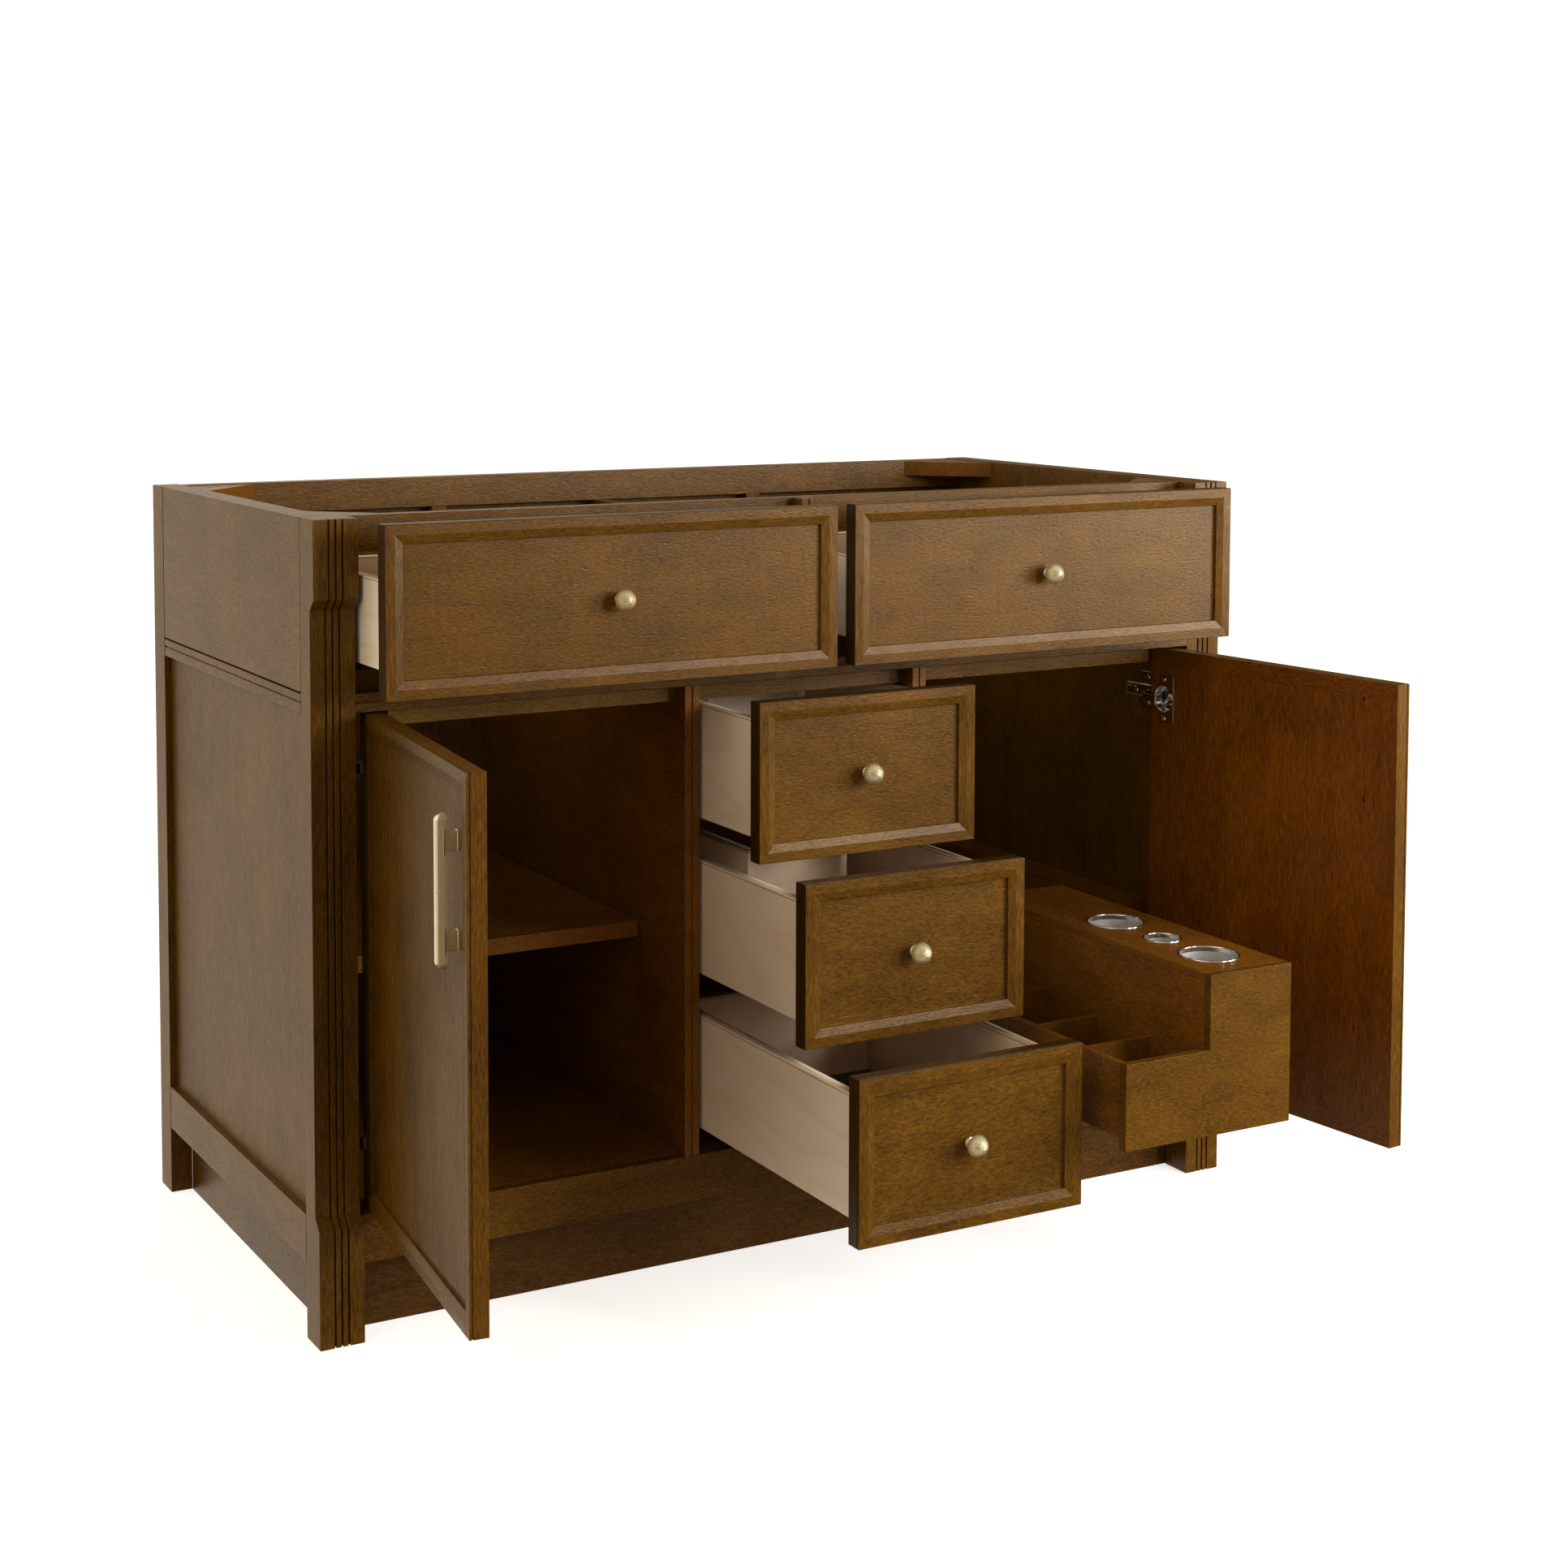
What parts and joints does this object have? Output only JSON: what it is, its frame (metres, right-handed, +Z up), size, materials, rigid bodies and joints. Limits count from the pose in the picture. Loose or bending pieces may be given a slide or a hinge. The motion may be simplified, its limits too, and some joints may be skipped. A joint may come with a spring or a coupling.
{
  "type": "bathroom vanity cabinet",
  "caption": "Free-standing bathroom vanity base with drawers, hinged doors, a shelf bay and a pull-out hair tool organiser, without its worktop.",
  "frame": {"origin": "on the floor, middle of the underside of the front toe board", "axes": "+X to the right as seen from the front, +Y towards the wall, +Z up"},
  "size_m": [1.219, 0.9558, 0.888],
  "materials": {
    "stained_wood": "satin walnut stain",
    "inner_wood": "satin walnut stain, a little darker and redder",
    "toe_wood": "dark stain",
    "birch_ply": "clear satin lacquer",
    "champagne_brass": "satin",
    "hinge_steel": "bright nickel",
    "runner_steel": "zinc plated",
    "cup_metal": "brushed, bright rims"
  },
  "bodies": {
    "cabinet": {"front_left_post": "stained_wood", "front_right_post": "stained_wood", "rear_left_leg": "stained_wood", "rear_right_leg": "stained_wood", "left_upper_side": "stained_wood", "right_upper_side": "stained_wood", "left_side_panel": "stained_wood", "right_side_panel": "stained_wood", "side_mid_rails": "stained_wood", "side_bottom_rails": "stained_wood", "side_toe_boards": "toe_wood", "front_toe_board": "toe_wood", "front_bottom_rail": "stained_wood", "bottom_panel": "inner_wood", "left_partition": "inner_wood", "right_partition": "inner_wood", "mid_rail": "stained_wood", "mid_stretchers": "inner_wood", "top_divider": "stained_wood", "top_stretcher": "inner_wood", "front_gussets": "inner_wood", "rear_gussets": "inner_wood", "back_top_rail": "inner_wood", "back_stiles": "inner_wood", "back_panel": "inner_wood", "shelf": "inner_wood", "shelf_pins": "hinge_steel", "hinge_blocks": "inner_wood", "hinge_arms": "hinge_steel", "drawer_runners": "runner_steel", "side_ledge": "inner_wood", "organiser_base": "inner_wood"},
    "left_leaf": {"left_door": "stained_wood", "left_handle": "champagne_brass", "left_hinge_cups": "hinge_steel"},
    "right_leaf": {"right_door": "stained_wood", "right_handle": "champagne_brass", "right_hinge_cups": "hinge_steel"},
    "left_top_drawer": {"left_top_front": "stained_wood", "left_top_box": "birch_ply", "left_top_knob": "champagne_brass"},
    "right_top_drawer": {"right_top_front": "stained_wood", "right_top_box": "birch_ply", "right_top_knob": "champagne_brass"},
    "upper_drawer": {"upper_front": "stained_wood", "upper_box": "birch_ply", "upper_knob": "champagne_brass"},
    "middle_drawer": {"middle_front": "stained_wood", "middle_box": "birch_ply", "middle_knob": "champagne_brass"},
    "lower_drawer": {"lower_front": "stained_wood", "lower_box": "birch_ply", "lower_knob": "champagne_brass"},
    "organiser_slide_members": {"organiser_slides": "runner_steel"},
    "organiser": {"organiser_front": "inner_wood", "organiser_box": "inner_wood", "organiser_lid": "inner_wood", "organiser_top": "inner_wood", "organiser_cups": "cup_metal"}
  },
  "joints": [
    {"name": "left_door_hinge", "type": "hinge", "parent": "cabinet", "child": "left_leaf", "pos_m": [-0.5375, -0.0317, 0.4], "axis": [0, 0, -1], "range_deg": [-96.3, 0]},
    {"name": "right_door_hinge", "type": "hinge", "parent": "cabinet", "child": "right_leaf", "pos_m": [0.5375, -0.0317, 0.4], "axis": [0, 0, 1], "range_deg": [-96.3, 0]},
    {"name": "left_top_slide", "type": "slide", "parent": "cabinet", "child": "left_top_drawer", "axis": [0, -1, 0], "range_m": [-0.0825, 0.1375]},
    {"name": "right_top_slide", "type": "slide", "parent": "cabinet", "child": "right_top_drawer", "axis": [0, -1, 0], "range_m": [-0.0825, 0.1375]},
    {"name": "upper_slide", "type": "slide", "parent": "cabinet", "child": "upper_drawer", "axis": [0, -1, 0], "range_m": [-0.1335, 0.2165]},
    {"name": "middle_slide", "type": "slide", "parent": "cabinet", "child": "middle_drawer", "axis": [0, -1, 0], "range_m": [-0.2319, 0.1181]},
    {"name": "lower_slide", "type": "slide", "parent": "cabinet", "child": "lower_drawer", "axis": [0, -1, 0], "range_m": [-0.3405, 0.0095]},
    {"name": "organiser_slide", "type": "slide", "parent": "cabinet", "child": "organiser", "axis": [0, -1, 0], "range_m": [-0.5198, 0]},
    {"name": "organiser_mid_slide", "type": "slide", "parent": "cabinet", "child": "organiser_slide_members", "axis": [0, -1, 0], "range_m": [-0.2599, 0]}
  ],
  "couplings": [
    {"joint": "organiser_slide", "follows": "right_door_hinge", "m_per_rad": 0.30927},
    {"joint": "organiser_mid_slide", "follows": "right_door_hinge", "m_per_rad": 0.15463}
  ]
}
